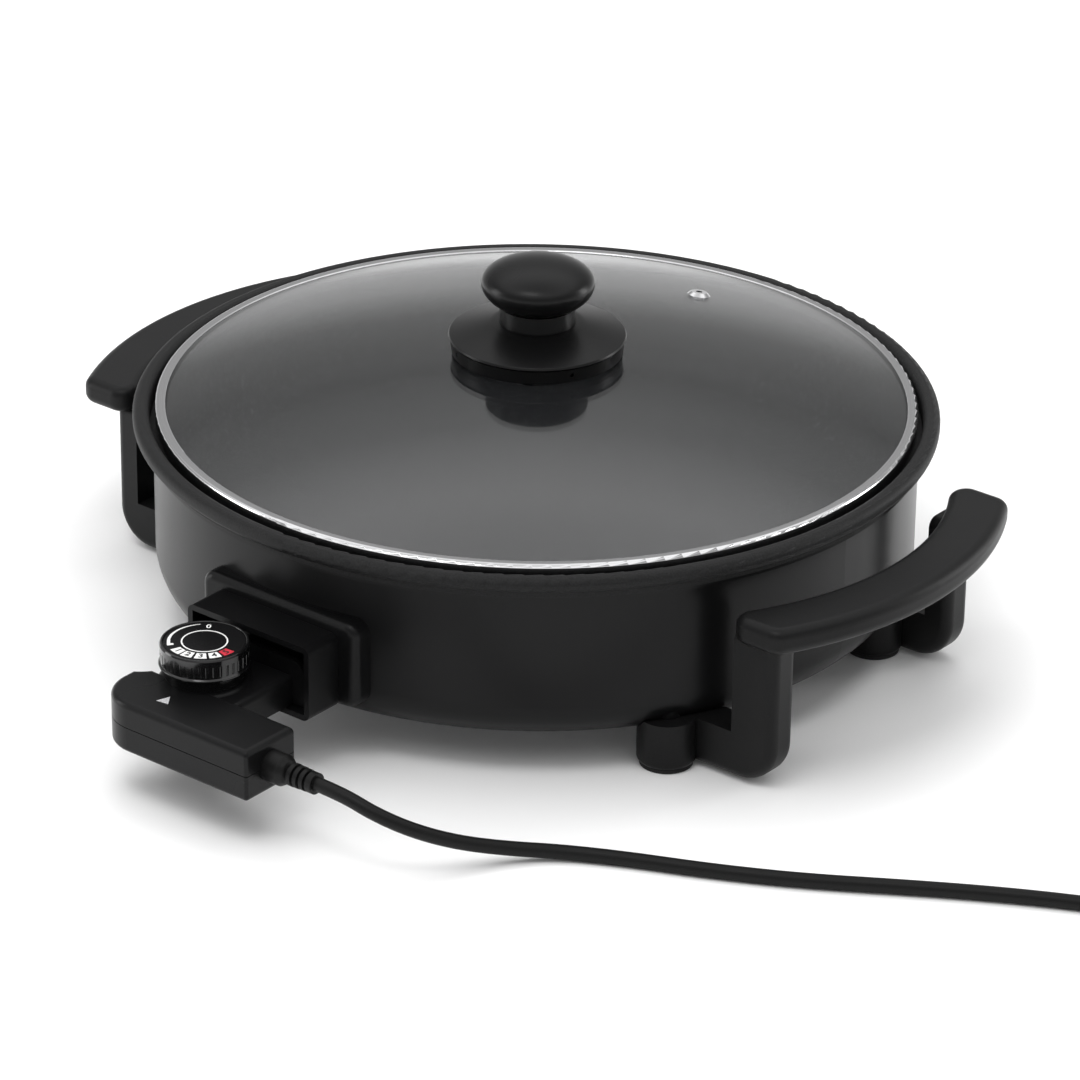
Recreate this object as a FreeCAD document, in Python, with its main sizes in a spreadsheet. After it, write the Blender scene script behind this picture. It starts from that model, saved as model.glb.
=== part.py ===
import FreeCAD, Part
import math
import os
import re

import Sketcher

Vector = FreeCAD.Vector

# Electric skillet: a round pan on two handle mouldings, with a lift-off glass lid and a
# plug-in heat control on a flat cord. Lengths in millimetres, angles in degrees.
# Origin: on the table, under the middle of the object without its cord. +Z is up, the socket faces -Y.
# The makers below work about the pan's axis; each finished piece is then moved back onto the origin.

doc = FreeCAD.newDocument("ElectricSkillet")
sheet = doc.addObject("Spreadsheet::Sheet", "Sheet")

# Driving dimensions
SIZES = {
    # pan
    "rim_radius": 200.0,
    "rim_height": 106.0,
    "rim_width": 8.5,
    "rim_rise": 4.5,
    "rim_drop": 3.5,
    "rim_round": 3.4,
    "ledge_drop": 6.0,
    "wall_radius": 190.0,
    "wall_thickness": 3.0,
    "corner_round": 20.0,
    "pan_depth": 58.0,
    "floor_thickness": 4.0,
    "floor_round": 14.0,
    "base_gap": 18.0,
    "lip_radius": 150.0,
    "cover_radius": 158.0,
    "cover_thickness": 1.5,
    "cover_screw_radius": 1.5,
    # heating element, its channel and the probe's tube
    "element_radius": 118.0,
    "element_diameter": 7.0,
    "element_height": 38.5,
    "channel_width": 14.0,
    "channel_drop": 10.0,
    "pin_spacing": 26.0,
    "pin_diameter": 4.8,
    "pin_length": 19.0,
    "probe_diameter": 5.0,
    "probe_tip": 125.0,
    "tube_wall": 1.2,
    "seal_wall": 1.6,
    "fit_gap": 0.35,
    # socket on the pan's wall
    "shroud_width": 97.0,
    "shroud_bottom": 30.5,
    "shroud_top": 75.0,
    "shroud_front": 194.5,
    "shroud_round": 7.0,
    "frame_width": 76.0,
    "frame_bottom": 30.0,
    "frame_top": 68.5,
    "frame_front": 215.5,
    "frame_wall": 3.0,
    "frame_round": 4.0,
    "shroud_screw_x": 28.0,
    "shroud_screw_height": 60.0,
    # lid
    "band_radius": 188.9,
    "band_width": 5.3,
    "band_top": 112.6,
    "band_round": 1.6,
    "glass_thickness": 4.0,
    "glass_radius": 187.2,
    "dome_rise": 27.0,
    "dome_edge": 111.2,
    "seat_gap": 0.1,
    "vent_place": 127.5,
    "vent_radius": 5.9,
    "vent_hole": 1.65,
    "vent_barrel": 3.6,
    "vent_turn": -1.5,
    # lid knob
    "knob_radius": 28.1,
    "knob_crown": 11.5,
    "knob_belly": 15.5,
    "knob_height": 174.0,
    "neck_radius": 18.8,
    "neck_bottom": 153.2,
    "base_radius": 44.1,
    "base_edge": 146.4,
    "base_bottom": 137.4,
    "skirt_radius": 43.4,
    "lid_cap_radius": 26.2,
    "lid_cap_drop": 9.0,
    "knob_screw_radius": 2.5,
    "gasket_thickness": 1.0,
    # handle mouldings
    "grip_axis": 57.0,
    "grip_inner": 158.5,
    "grip_outer": 188.0,
    "grip_top": 90.0,
    "grip_thickness": 13.5,
    "grip_round": 5.0,
    "grip_half_length": 95.0,
    "grip_end_round": 9.0,
    "leg_inner": 190.0,
    "wide_leg_outer": 214.0,
    "slim_leg_outer": 204.0,
    "leg_near": 70.0,
    "leg_far": 88.0,
    "leg_round": 5.0,
    "leg_corner_round": 20.0,
    "bar_height": 24.0,
    "front_foot_x": 156.0,
    "front_foot_y": -93.0,
    "rear_foot_x": 163.0,
    "rear_foot_y": 66.0,
    "foot_radius": 14.4,
    "leg_lift": 2.0,
    "head_depth": 4.0,
    "boss_radius": 6.5,
    "boss_bottom": 14.0,
    "foot_screw_radius": 2.0,
    # heat control
    "control_left": -36.0,
    "control_right": 60.0,
    "control_front": 284.0,
    "control_depth": 34.0,
    "control_bottom": 24.0,
    "control_top": 50.0,
    "control_seam": 37.0,
    "control_wall": 2.0,
    "control_round": 3.0,
    "control_corner": 21.0,
    "waist_x": -46.0,
    "waist_y": 239.0,
    "waist_radius": 20.0,
    "seam_gap": 0.4,
    "dial_x": -6.5,
    "dial_y": 238.3,
    "deck_radius": 22.4,
    "riser_radius": 19.0,
    "riser_height": 5.0,
    "nose_left": -20.0,
    "nose_right": 24.0,
    "nose_low": 33.6,
    "nose_high": 48.5,
    "nose_end": 198.0,
    "flange_left": -26.0,
    "flange_right": 31.0,
    "flange_high": 57.0,
    "flange_y": 211.0,
    "flange_thickness": 2.5,
    "dial_radius": 21.9,
    "dial_height": 12.5,
    "dial_ribs": 40.0,
    "shaft_radius": 3.0,
    "sleeve_wall": 1.0,
    "sleeve_length": 14.0,
    "pointer_size": 6.5,
    "pointer_x": -3.0,
    "pointer_y": 269.0,
    "pointer_turn": 8.0,
    # cord, strain relief and plug
    "cord_diameter": 7.0,
    "relief_length": 28.0,
    "relief_radius": 7.6,
    "relief_tip": 5.2,
    "coil_radius": 48.0,
    "coil_step": 7.6,
    "plug_width": 26.0,
    "plug_length": 34.0,
    "plug_height": 15.0,
    "blade_spacing": 12.7,
    "blade_length": 16.0,
}

for row, (alias, value) in enumerate(SIZES.items(), start=1):
    sheet.set(f"A{row}", alias.replace("_", " "))
    sheet.set(f"B{row}", str(value))
    sheet.setAlias(f"B{row}", alias)
doc.recompute()


# Helpers that bind sizes to the sheet
def link(expression):
    return re.sub(r"[a-z][a-z_]*", lambda word: "Sheet." + word.group(0)
                  if word.group(0) in SIZES else word.group(0), str(expression))


def size(expression):
    return float(sheet.evalExpression(str(expression)))


def bind(item, **expressions):
    for name, expression in expressions.items():
        item.setExpression(name, link(expression))
    return item


def place(item, x=0, y=0, z=0, axis=None, angle=None):
    if axis is not None:
        item.Placement = FreeCAD.Placement(Vector(), FreeCAD.Rotation(Vector(*axis), 0.0))
        item.setExpression(".Placement.Rotation.Angle", link(angle))
    for name, expression in (("x", x), ("y", y), ("z", z)):
        item.setExpression(".Placement.Base." + name, link(expression))
    return item


ALONG_X = dict(axis=(0, 1, 0), angle=90)
ALONG_MINUS_Y = dict(axis=(1, 0, 0), angle=90)


def cylinder(name, radius, height, x=0, y=0, z=0, **turn):
    item = bind(doc.addObject("Part::Cylinder", name), Radius=radius, Height=height)
    return place(item, x, y, z, **turn)


def cone(name, low, high, height, x=0, y=0, z=0, **turn):
    item = bind(doc.addObject("Part::Cone", name), Radius1=low, Radius2=high, Height=height)
    return place(item, x, y, z, **turn)


def block(name, x0, x1, y0, y1, z0, z1):
    item = doc.addObject("Part::Box", name)
    bind(item, Length=f"({x1})-({x0})", Width=f"({y1})-({y0})", Height=f"({z1})-({z0})")
    return place(item, x0, y0, z0)


def ball(name, radius, z):
    item = bind(doc.addObject("Part::Sphere", name), Radius=radius)
    return place(item, z=z)


def cut(name, base, tool):
    item = doc.addObject("Part::Cut", name)
    item.Base = base
    item.Tool = tool
    return item


def fuse(name, *shapes):
    item = doc.addObject("Part::MultiFuse", name)
    item.Shapes = list(shapes)
    item.Refine = True
    return item


def common(name, *shapes):
    item = doc.addObject("Part::MultiCommon", name)
    item.Shapes = list(shapes)
    return item


def group(name, *shapes):
    item = doc.addObject("Part::Compound", name)
    item.Links = list(shapes)
    return item


def rounded(name, base, radius, chosen):
    doc.recompute()
    value = size(radius)
    item = doc.addObject("Part::Fillet", name)
    item.Base = base
    item.Edges = [(number, value, value) for number, edge in enumerate(base.Shape.Edges, start=1)
                  if chosen(edge)]
    doc.recompute()
    return item


def upright(edge):
    return edge.BoundBox.XLength < 0.01 and edge.BoundBox.YLength < 0.01


def profile(body, name, role, corners):
    """A closed sketch of lines. A corner is (across, up) or (across, up, radius), in sheet terms."""
    sketch = body.newObject("Sketcher::SketchObject", name)
    plane = [item for item in body.Origin.OriginFeatures if item.Role == role][0]
    sketch.AttachmentSupport = (plane, [""])
    sketch.MapMode = "FlatFace"
    count = len(corners)
    points = [Vector(size(corner[0]), size(corner[1]), 0) for corner in corners]
    radii = [size(corner[2]) if len(corner) > 2 else 0.0 for corner in corners]
    ways = [((points[k - 1] - points[k]).normalize(), (points[(k + 1) % count] - points[k]).normalize())
            for k in range(count)]
    ends = []
    for point, radius, (back, ahead) in zip(points, radii, ways):
        reach = radius / math.tan(back.getAngle(ahead) / 2)
        ends.append((point + back * reach, point + ahead * reach))
    lines = [sketch.addGeometry(Part.LineSegment(ends[k][1], ends[(k + 1) % count][0]))
             for k in range(count)]
    bound = []

    def fix(item, position, point, corner):
        for kind, value, expression in (("DistanceX", point.x, corner[0]), ("DistanceY", point.y, corner[1])):
            number = sketch.addConstraint(Sketcher.Constraint(kind, item, position, value))
            bound.append((number, expression))

    for k in range(count):
        before, after = lines[k - 1], lines[k]
        if not radii[k]:
            sketch.addConstraint(Sketcher.Constraint("Coincident", before, 2, after, 1))
            fix(after, 1, points[k], corners[k])
            continue
        back, ahead = ways[k]
        centre = points[k] + (back + ahead).normalize() * (radii[k] / math.sin(back.getAngle(ahead) / 2))
        middle = centre + (points[k] - centre).normalize() * radii[k]
        first, last = (1, 2) if ahead.cross(back).z > 0 else (2, 1)
        arc = sketch.addGeometry(Part.Arc(ends[k][first - 1], middle, ends[k][last - 1]))
        sketch.addConstraint(Sketcher.Constraint("Tangent", before, 2, arc, first))
        sketch.addConstraint(Sketcher.Constraint("Tangent", arc, last, after, 1))
        bound.append((sketch.addConstraint(Sketcher.Constraint("Radius", arc, radii[k])), corners[k][2]))
        corner = sketch.addGeometry(Part.Point(points[k]), True)
        sketch.addConstraint(Sketcher.Constraint("PointOnObject", corner, 1, before))
        sketch.addConstraint(Sketcher.Constraint("PointOnObject", corner, 1, after))
        fix(corner, 1, points[k], corners[k])
    for number, expression in bound:
        sketch.setExpression(f"Constraints[{number}]", link(expression))
    return sketch


def turned(name, corners):
    """A body turned about its own Z axis from a profile of (radius, height) corners."""
    body = doc.addObject("PartDesign::Body", name)
    sketch = profile(body, name + "_profile", "XZ_Plane", corners)
    turn = body.newObject("PartDesign::Revolution", name + "_turn")
    turn.Profile = sketch
    turn.ReferenceAxis = (sketch, ["V_Axis"])
    turn.Angle = 360
    return body


def padded(name, role, corners, length):
    body = doc.addObject("PartDesign::Body", name)
    sketch = profile(body, name + "_profile", role, corners)
    pad = body.newObject("PartDesign::Pad", name + "_pad")
    pad.Profile = sketch
    bind(pad, Length=length)
    return body


def ring_places(count, radius, turn=0.0):
    for k in range(count):
        angle = 360.0 / count * k + turn
        yield f"{radius}*cos({angle})", f"{radius}*sin({angle})"


nodes = []


# The pan's axis stands behind the origin, which is under the middle of the whole object
AXIS_PLACE = "(control_front-rim_radius)/2"


def node(name, item):
    whole = place(group(name + "_on_axis", item), y=AXIS_PLACE)
    whole.Label = name
    nodes.append(whole)


# Pan: one cast shell with a rolled rim, a ledge for the lid and a lip under the base
FLOOR_TOP = "rim_height-pan_depth"
FLOOR_UNDER = "rim_height-pan_depth-floor_thickness"
LEDGE_TOP = "rim_height-ledge_drop"
BORE = "wall_radius-wall_thickness"
RIM_BORE = "rim_radius-rim_width"
FEET = {
    "right_front": ("front_foot_x", "front_foot_y"),
    "right_rear": ("rear_foot_x", "rear_foot_y"),
    "left_front": ("-front_foot_x", "-front_foot_y"),
    "left_rear": ("-rear_foot_x", "-rear_foot_y"),
}


def pan_space(name, gap="0"):
    """The room that the pan's outside takes, grown by a gap."""
    return turned(name, [
        ("0", f"base_gap-{gap}"),
        (f"wall_radius+{gap}", f"base_gap-{gap}", f"corner_round+{gap}"),
        (f"wall_radius+{gap}", "rim_height"),
        ("0", "rim_height"),
    ])


def lead_path():
    """The element's line: a ring open at the front, with two leads that bend out through the wall."""
    ring = size("element_radius")
    half = size("pin_spacing/2")
    height = size("element_height")
    bend = size("element_diameter*2.2")
    out = size("wall_radius+2")
    centre_x = half + bend
    centre_y = -math.sqrt((ring + bend) ** 2 - centre_x ** 2)
    touch = Vector(centre_x, centre_y, 0).normalize() * ring
    runs = []
    for side in (1, -1):
        corner = Vector(side * centre_x, centre_y, height)
        start = Vector(side * half, -out, height)
        knee = Vector(side * half, centre_y, height)
        meet = Vector(side * touch.x, touch.y, height)
        away = ((knee - corner).normalize() + (meet - corner).normalize()).normalize()
        runs.append((Part.makeLine(start, knee), Part.Arc(knee, corner + away * bend, meet).toShape(), meet))
    right, left = runs
    loop = Part.Arc(right[2], Vector(0, ring, height), left[2]).toShape()
    return Part.Wire([right[0], right[1], loop, left[1], left[0]])


def lead_solid():
    wire = lead_path()
    start = wire.Edges[0].Vertexes[0].Point
    section = Part.Wire(Part.makeCircle(size("element_diameter/2"), start, Vector(0, 1, 0)))
    return wire.makePipeShell([section], True, False)


def feature(name, shape):
    item = doc.addObject("Part::Feature", name)
    item.Shape = shape
    item.Placement = FreeCAD.Placement()
    return item


def both_pins(name, radius, front, back):
    """Two rods on the pins' lines, from a front distance to a back distance before the axis."""
    sides = (("right", "pin_spacing/2"), ("left", "-pin_spacing/2"))
    return [cylinder(f"{name}_{side}", radius, f"({front})-({back})", x, f"-({back})", "element_height",
                     **ALONG_MINUS_Y) for side, x in sides]


def make_pan():
    shell = turned("pan_shell", [
        ("0", FLOOR_TOP),
        (BORE, FLOOR_TOP, "floor_round"),
        (BORE, LEDGE_TOP),
        (RIM_BORE, LEDGE_TOP),
        (RIM_BORE, "rim_height+rim_rise", "rim_round"),
        ("rim_radius", "rim_height+rim_rise", "rim_round"),
        ("rim_radius", "rim_height-rim_drop", "rim_round"),
        (RIM_BORE + "+wall_thickness", "rim_height-rim_drop"),
        (RIM_BORE + "+wall_thickness", LEDGE_TOP + "-wall_thickness"),
        ("wall_radius", LEDGE_TOP + "-wall_thickness"),
        ("wall_radius", "base_gap", "corner_round"),
        ("lip_radius", "base_gap"),
        ("lip_radius", "base_gap+wall_thickness"),
        (BORE, "base_gap+wall_thickness", "corner_round-wall_thickness"),
        (BORE, FLOOR_UNDER),
        ("0", FLOOR_UNDER),
    ])
    low = FLOOR_UNDER + "-channel_drop"
    high = FLOOR_UNDER + "+floor_thickness/2"
    channel = cut("channel_ring",
                  cylinder("channel_outer", "element_radius+channel_width/2",
                           "channel_drop+floor_thickness/2", z=low),
                  cylinder("channel_inner", "element_radius-channel_width/2",
                           "channel_drop+floor_thickness/2", z=low))
    ribs = [block("probe_rib", "-channel_width/2", "channel_width/2", "-wall_radius+20", "-probe_tip+20",
                  low, high)]
    for side, x in (("right", "pin_spacing/2"), ("left", "-pin_spacing/2")):
        ribs.append(block("lead_rib_" + side, f"{x}-channel_width/2", f"{x}+channel_width/2",
                          "-wall_radius+20", "-element_radius", low, high))
    bosses = fuse("boss_set", *[cylinder("boss_" + corner, "boss_radius",
                                         "base_gap+corner_round-boss_bottom", x, y, "boss_bottom")
                                for corner, (x, y) in FEET.items()])
    inside = cylinder("boss_limit", "wall_radius-wall_thickness/2", "base_gap+corner_round")
    metal = fuse("pan_metal", shell, channel, *ribs, common("pan_bosses", bosses, inside))
    threads = [cylinder("thread_" + corner, "foot_screw_radius", "base_gap+wall_thickness+3", x, y, "0")
               for corner, (x, y) in FEET.items()]
    cover_holes = [cylinder(f"lip_hole_{k}", "cover_screw_radius", "wall_thickness+2", x, y, "base_gap-1")
                   for k, (x, y) in enumerate(ring_places(6, "(lip_radius+4)", 30.0))]
    guide = cylinder("guide_space", "probe_diameter/2+fit_gap+tube_wall", "wall_radius+2-(probe_tip-8)", 0,
                     "-(probe_tip-8)", "element_height", **ALONG_MINUS_Y)
    seals = both_pins("seal_space", "element_diameter/2+seal_wall", "wall_radius+3", "wall_radius-12")
    holes = fuse("pan_holes", feature("element_space", lead_solid()), guide, *seals, *threads, *cover_holes)
    node("cooking_pan", cut("pan_cut", metal, holes))


def make_base():
    cover = cylinder("cover_disc", "cover_radius", "cover_thickness", z="base_gap-cover_thickness")
    holes = [cylinder(f"cover_hole_{k}", "cover_screw_radius", "cover_thickness+2", x, y,
                      "base_gap-cover_thickness-1")
             for k, (x, y) in enumerate(ring_places(6, "(lip_radius+4)", 30.0))]
    node("base_cover", cut("cover_cut", cover, fuse("cover_holes", *holes)))
    screws = []
    for k, (x, y) in enumerate(ring_places(6, "(lip_radius+4)", 30.0)):
        shank = cylinder(f"cover_shank_{k}", "cover_screw_radius", "cover_thickness+wall_thickness", x, y,
                         "base_gap-cover_thickness")
        head = cone(f"cover_head_{k}", "cover_screw_radius*1.3", "cover_screw_radius*2.1", "1.4", x, y,
                    "base_gap-cover_thickness-1.4")
        screws.append(fuse(f"cover_screw_{k}", shank, head))
    node("base_cover_screws", group("cover_screws", *screws))


def make_heater():
    node("heating_element", feature("element", lead_solid()))
    pins = both_pins("pin", "pin_diameter/2", "wall_radius+2+pin_length", "wall_radius+2")
    node("terminal_pins", group("pins", *pins))
    rings = both_pins("seal_ring", "element_diameter/2+seal_wall", "wall_radius+1", "wall_radius-6")
    bores = both_pins("seal_bore", "element_diameter/2", "wall_radius+2", "wall_radius-7")
    seals = [cut(f"seal_{k}", ring, bore) for k, (ring, bore) in enumerate(zip(rings, bores))]
    node("element_seals", group("seals", *seals))
    tube = cylinder("guide_tube", "probe_diameter/2+fit_gap+tube_wall", "wall_radius+2-(probe_tip-8)", 0,
                    "-(probe_tip-8)", "element_height", **ALONG_MINUS_Y)
    bore = cylinder("guide_bore", "probe_diameter/2+fit_gap", "wall_radius+4-(probe_tip-6)", 0,
                    "-(probe_tip-6)", "element_height", **ALONG_MINUS_Y)
    node("probe_guide", cut("guide_cut", tube, bore))


def make_socket():
    plate = block("shroud_block", "-shroud_width/2", "shroud_width/2", "-shroud_front", "-wall_radius*0.85",
                  "shroud_bottom", "shroud_top")
    front = "-shroud_front"
    soft = rounded("shroud_soft", plate, "shroud_round", lambda edge: edge.BoundBox.XLength < 0.01
                   and edge.BoundBox.ZLength < 0.01)
    face = rounded("shroud_face", soft, "shroud_round*0.6",
                   lambda edge: edge.BoundBox.YLength < 0.01 and abs(edge.BoundBox.YMin - size(front)) < 0.01)
    bore = both_pins("shroud_bore", "element_diameter/2+seal_wall", "shroud_front+1", "wall_radius*0.8")
    guide = cylinder("shroud_guide", "probe_diameter/2+fit_gap+tube_wall", "shroud_front", 0, "0",
                     "element_height", **ALONG_MINUS_Y)
    screw_holes = [cylinder(f"shroud_screw_hole_{k}", "1.6", "30", x, "-wall_radius+16", "shroud_screw_height",
                            **ALONG_MINUS_Y) for k, x in enumerate(("shroud_screw_x", "-shroud_screw_x"))]
    holes = fuse("shroud_holes", pan_space("shroud_pan_room"), *bore, guide, *screw_holes)
    node("socket_shroud", cut("shroud_cut", face, holes))

    outer = block("frame_block", "-frame_width/2", "frame_width/2", "-frame_front", front,
                  "frame_bottom", "frame_top")
    shape = rounded("frame_soft", outer, "frame_round", lambda edge: edge.BoundBox.XLength < 0.01
                    and edge.BoundBox.ZLength < 0.01)
    mouth = block("frame_mouth", "-frame_width/2+frame_wall", "frame_width/2-frame_wall", "-frame_front-1",
                  "-shroud_front-frame_wall", "frame_bottom+frame_wall", "frame_top-frame_wall")
    back_bore = both_pins("frame_bore", "pin_diameter/2+0.6", "frame_front", "shroud_front-1")
    back_guide = cylinder("frame_guide", "probe_diameter/2+fit_gap", "frame_front", 0, "0",
                          "element_height", **ALONG_MINUS_Y)
    back_screws = [cylinder(f"frame_screw_hole_{k}", "1.6", "30", x, "-wall_radius+16", "shroud_screw_height",
                            **ALONG_MINUS_Y) for k, x in enumerate(("shroud_screw_x", "-shroud_screw_x"))]
    node("socket_frame", cut("frame_cut", shape, fuse("frame_holes", mouth, *back_bore, back_guide,
                                                      *back_screws)))
    screws = []
    for k, x in enumerate(("shroud_screw_x", "-shroud_screw_x")):
        shank = cylinder(f"socket_shank_{k}", "1.6", "shroud_front+frame_wall-wall_radius", x,
                         "-wall_radius", "shroud_screw_height", **ALONG_MINUS_Y)
        head = cylinder(f"socket_head_{k}", "3", "2", x, "-shroud_front-frame_wall", "shroud_screw_height",
                        **ALONG_MINUS_Y)
        screws.append(fuse(f"socket_screw_{k}", shank, head))
    room = pan_space("screw_pan_room")
    node("socket_screws", group("socket_screw_pair", *[cut(f"socket_screw_cut_{k}", screw, room)
                                                       for k, screw in enumerate(screws)]))


# Handles: one moulding a side, with a curved grip, a wide leg, a slim leg and two feet
def make_grip():
    ring = cut("grip_ring",
               cylinder("grip_outside", "grip_outer", "grip_thickness", "grip_axis", 0,
                        "grip_top-grip_thickness"),
               cylinder("grip_inside", "grip_inner", "grip_thickness", "grip_axis", 0,
                        "grip_top-grip_thickness"))
    window = block("grip_window", "grip_axis", "grip_axis+grip_outer+1", "-grip_half_length",
                   "grip_half_length", "grip_top-grip_thickness", "grip_top")
    raw = common("grip_raw", ring, window)
    ends = rounded("grip_ends", raw, "grip_end_round", upright)
    return rounded("grip", ends, "grip_round", lambda edge: edge.BoundBox.ZLength < 0.01)


def make_leg(name, outer, near, far, foot_x, foot_y):
    """An L-shaped bar under the grip that ends in a round foot."""
    body = padded(name + "_bar", "XZ_Plane", [
        (foot_x, "leg_lift"),
        (outer, "leg_lift", "leg_corner_round"),
        (outer, "grip_top-grip_thickness+2"),
        ("leg_inner", "grip_top-grip_thickness+2"),
        ("leg_inner", "leg_lift+bar_height"),
        (foot_x, "leg_lift+bar_height"),
    ], f"({far})-({near})")
    place(body, y=far)
    edge_x = size(outer)
    soft = rounded(name + "_soft", body, "leg_round",
                   lambda edge: edge.BoundBox.YLength < 0.01 and edge.BoundBox.XMax > edge_x - 30
                   and abs(edge.BoundBox.XMax - edge_x) < 0.01)
    foot = cylinder(name + "_foot", "foot_radius", "bar_height", foot_x, foot_y, "leg_lift")
    foot_soft = rounded(name + "_foot_soft", foot, "2.5", lambda edge: edge.BoundBox.ZMax < size("leg_lift") + 1
                        and edge.BoundBox.ZLength < 0.01)
    return [soft, foot_soft]


def make_handle(side):
    pieces = [make_grip()]
    pieces += make_leg("wide_leg_" + side, "wide_leg_outer", "-leg_far", "-leg_near", "front_foot_x",
                       "front_foot_y")
    pieces += make_leg("slim_leg_" + side, "slim_leg_outer", "leg_near", "leg_far", "rear_foot_x",
                       "rear_foot_y")
    tools = [pan_space("handle_pan_room_" + side, "fit_gap")]
    for corner in ("right_front", "right_rear"):
        x, y = FEET[corner]
        tools.append(cylinder(f"boss_room_{side}_{corner}", "boss_radius+0.2", "base_gap+corner_round", x, y,
                              "boss_bottom"))
        tools.append(cylinder(f"screw_room_{side}_{corner}", "foot_screw_radius", "base_gap+corner_round", x, y,
                              "0"))
        tools.append(cylinder(f"head_room_{side}_{corner}", "foot_screw_radius*2.2", "leg_lift+head_depth", x, y, "0"))
    shape = cut("handle_" + side, fuse("handle_raw_" + side, *pieces), fuse("handle_tools_" + side, *tools))
    place(shape, axis=(0, 0, 1), angle=0 if side == "right" else 180)
    node(side + "_handle", shape)


def make_feet():
    pads = []
    screws = []
    for corner, (x, y) in FEET.items():
        ring = cylinder("pad_" + corner, "foot_radius-1.5", "leg_lift", x, y, "0")
        hole = cylinder("pad_hole_" + corner, "foot_screw_radius*2.2", "leg_lift", x, y, "0")
        pads.append(cut("pad_cut_" + corner, ring, hole))
        shank = cylinder("shank_" + corner, "foot_screw_radius", "base_gap-leg_lift-head_depth+wall_thickness", x, y,
                         "leg_lift+head_depth")
        head = cylinder("head_" + corner, "foot_screw_radius*2", "2.4", x, y, "leg_lift+head_depth-2.4")
        screws.append(fuse("foot_screw_" + corner, shank, head))
    node("foot_pads", group("pads", *pads))
    node("foot_screws", group("foot_screw_set", *screws))


# Lid: domed glass in a steel band, with a knob and a steam vent
DOME_RADIUS = "(glass_radius*glass_radius+dome_rise*dome_rise)/(2*dome_rise)"
DOME_CENTRE = "dome_edge+dome_rise-(" + DOME_RADIUS + ")"
VENT_TILT = "-asin(vent_place/(" + DOME_RADIUS + "))"


def on_dome(item, depth="0"):
    reach = f"(({DOME_RADIUS})-({depth}))"
    return place(item, 0, f"{reach}*sin({VENT_TILT})*(-1)",
                 f"{DOME_CENTRE}+{reach}*cos({VENT_TILT})", axis=(1, 0, 0), angle=VENT_TILT)


def round_lid(item):
    return place(group(item.Name + "_turned", item), axis=(0, 0, 1), angle="vent_turn")


def make_glass(name):
    outer = ball(name + "_outer", DOME_RADIUS, DOME_CENTRE)
    inner = ball(name + "_inner", f"{DOME_RADIUS}-glass_thickness", DOME_CENTRE)
    disc = cylinder(name + "_disc", "glass_radius", "dome_rise+glass_thickness*3", z="dome_edge-glass_thickness*2")
    return cut(name + "_shell", common(name + "_cap", outer, disc), inner)


def make_lid():
    hole = cylinder("knob_hole", "knob_screw_radius+0.4", "dome_rise*4", z="dome_edge-dome_rise")
    vent_hole = on_dome(cylinder("vent_hole_space", "vent_barrel", "glass_thickness*3"), "glass_thickness*2")
    glass = cut("glass_cut", make_glass("glass"), fuse("glass_holes", hole, round_lid(vent_hole)))
    node("lid_glass", glass)
    band = turned("band_ring", [
        ("band_radius", LEDGE_TOP + "+seat_gap"),
        ("band_radius", "band_top", "band_round"),
        ("band_radius-band_width", "band_top", "band_round*0.5"),
        ("band_radius-band_width", "dome_edge-glass_thickness-2.5"),
        (BORE + "+0.1", "dome_edge-glass_thickness-2.5"),
        (BORE + "+0.1", LEDGE_TOP + "+seat_gap"),
    ])
    node("lid_band", cut("band_cut", band, make_glass("band_room")))
    top = on_dome(cone("vent_top", "vent_radius", "vent_radius*0.7", "1.6"))
    barrel = on_dome(cylinder("vent_tube", "vent_barrel", "glass_thickness+2"), "glass_thickness+1")
    under = on_dome(cylinder("vent_under", "vent_radius*0.85", "1"), "glass_thickness+1")
    bore = on_dome(cylinder("vent_bore", "vent_hole", "glass_thickness*4"), "glass_thickness*2")
    hub = cylinder("vent_keep", "vent_barrel", "glass_thickness*3")
    room = cut("vent_room", make_glass("vent_glass"), on_dome(hub, "glass_thickness*2"))
    shaped = cut("vent_shaped", fuse("vent_solid", top, barrel, under), bore)
    node("steam_vent", round_lid(cut("vent_cut", shaped, room)))


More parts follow.
